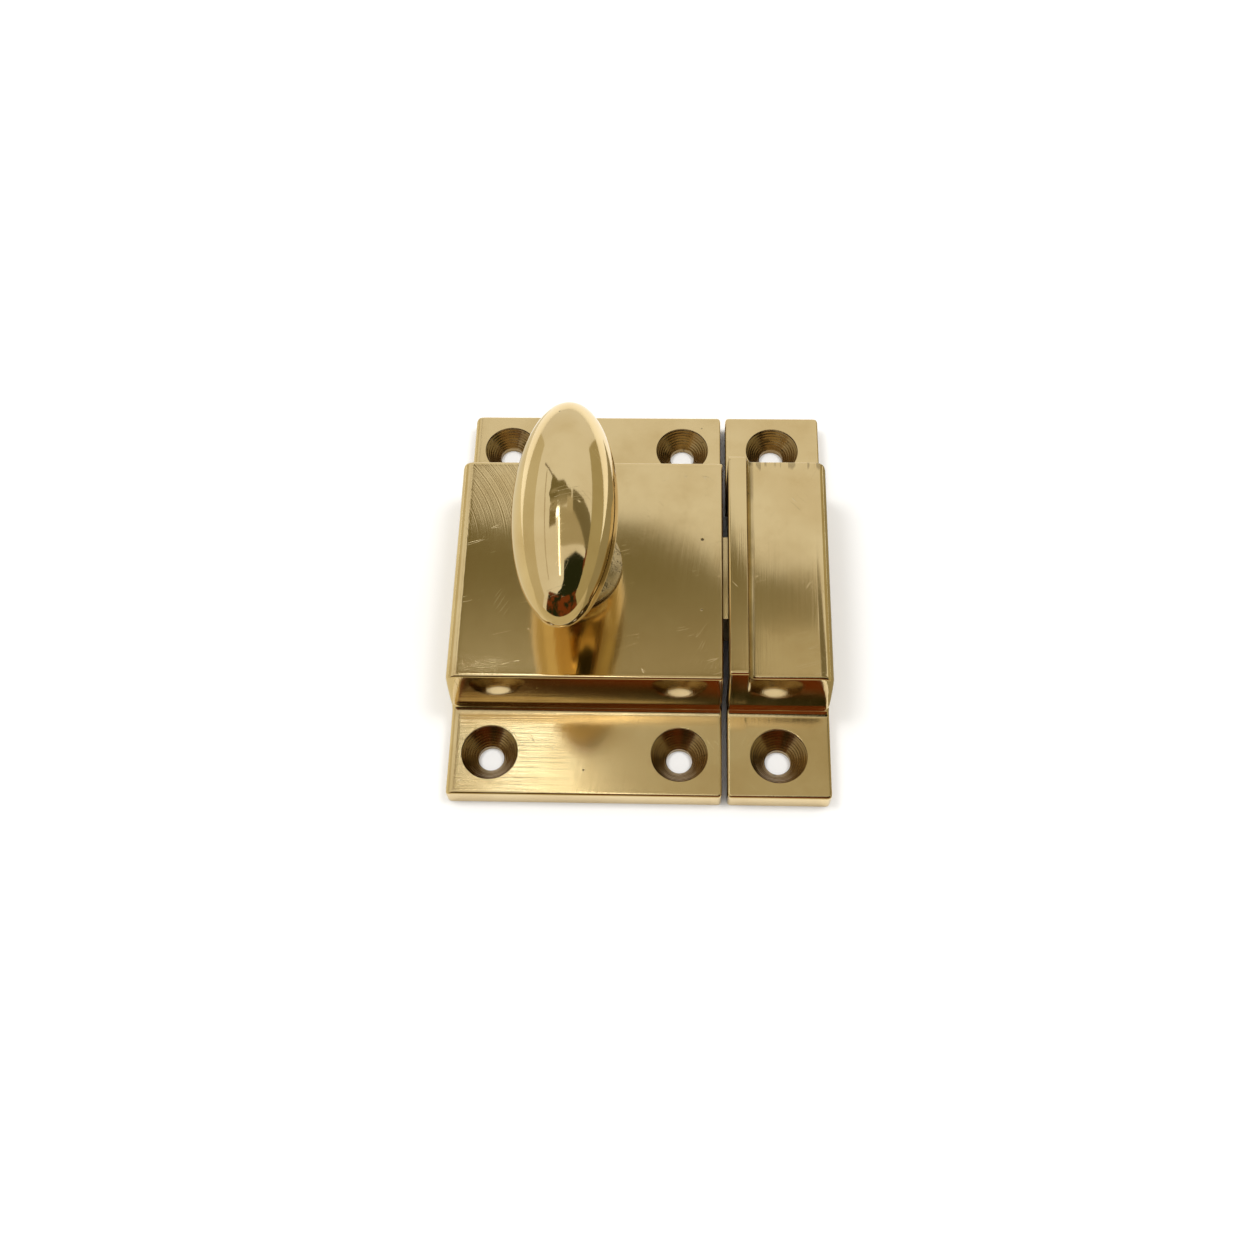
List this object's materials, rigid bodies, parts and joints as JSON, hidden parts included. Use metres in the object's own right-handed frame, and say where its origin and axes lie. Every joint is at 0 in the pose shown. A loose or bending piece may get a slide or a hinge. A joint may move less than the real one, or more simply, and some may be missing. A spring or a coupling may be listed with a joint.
{
  "type": "cupboard turn latch",
  "caption": "Surface-mounted cupboard turn latch: oval knob on a round neck, sprung sliding bolt in an eared box case, and a separate eared keeper with a raised lip.",
  "frame": {"origin": "centre of the case's four screw holes, on the mounting plane at the back", "axes": "+Z out of the door towards the knob, +X from the case towards the keeper (the way the bolt is thrown), +Y along the ears and the oval knob"},
  "size_m": [0.0544, 0.0636, 0.0346],
  "materials": {
    "case_brass": "polished cast",
    "keeper_brass": "polished cast",
    "knob_brass": "mirror polished",
    "bolt_brass": "machined",
    "plate_brass": "satin",
    "steel": "satin",
    "spring_steel": "drawn"
  },
  "bodies": {
    "case": {"case_body": "case_brass", "back_plate": "plate_brass", "plate_screws": "steel", "cam_washer": "steel", "spring_rod": "steel", "bolt_spring": "spring_steel"},
    "knob": {"knob": "knob_brass", "spindle": "steel", "cam_lever": "plate_brass", "cam_pin": "steel"},
    "bolt": {"bolt": "bolt_brass"},
    "keeper": {"keeper": "keeper_brass"}
  },
  "joints": [
    {"name": "knob_turn", "type": "hinge", "parent": "case", "child": "knob", "pos_m": [-0.0023, 0, 0.0121], "axis": [0, 0, -1], "range_deg": [0, 60], "stiffness_Nm_per_rad": 0.0175, "springref_deg": -30},
    {"name": "bolt_slide", "type": "slide", "parent": "case", "child": "bolt", "axis": [-1, 0, 0], "range_m": [0, 0.00802], "deforming": ["bolt_spring"]},
    {"name": "keeper_apart", "type": "slide", "parent": "case", "child": "keeper", "axis": [1, 0, 0], "range_m": [0, 0.025]}
  ],
  "couplings": [
    {"joint": "bolt_slide", "follows": "knob_turn", "m_per_rad": 0.0076394}
  ]
}
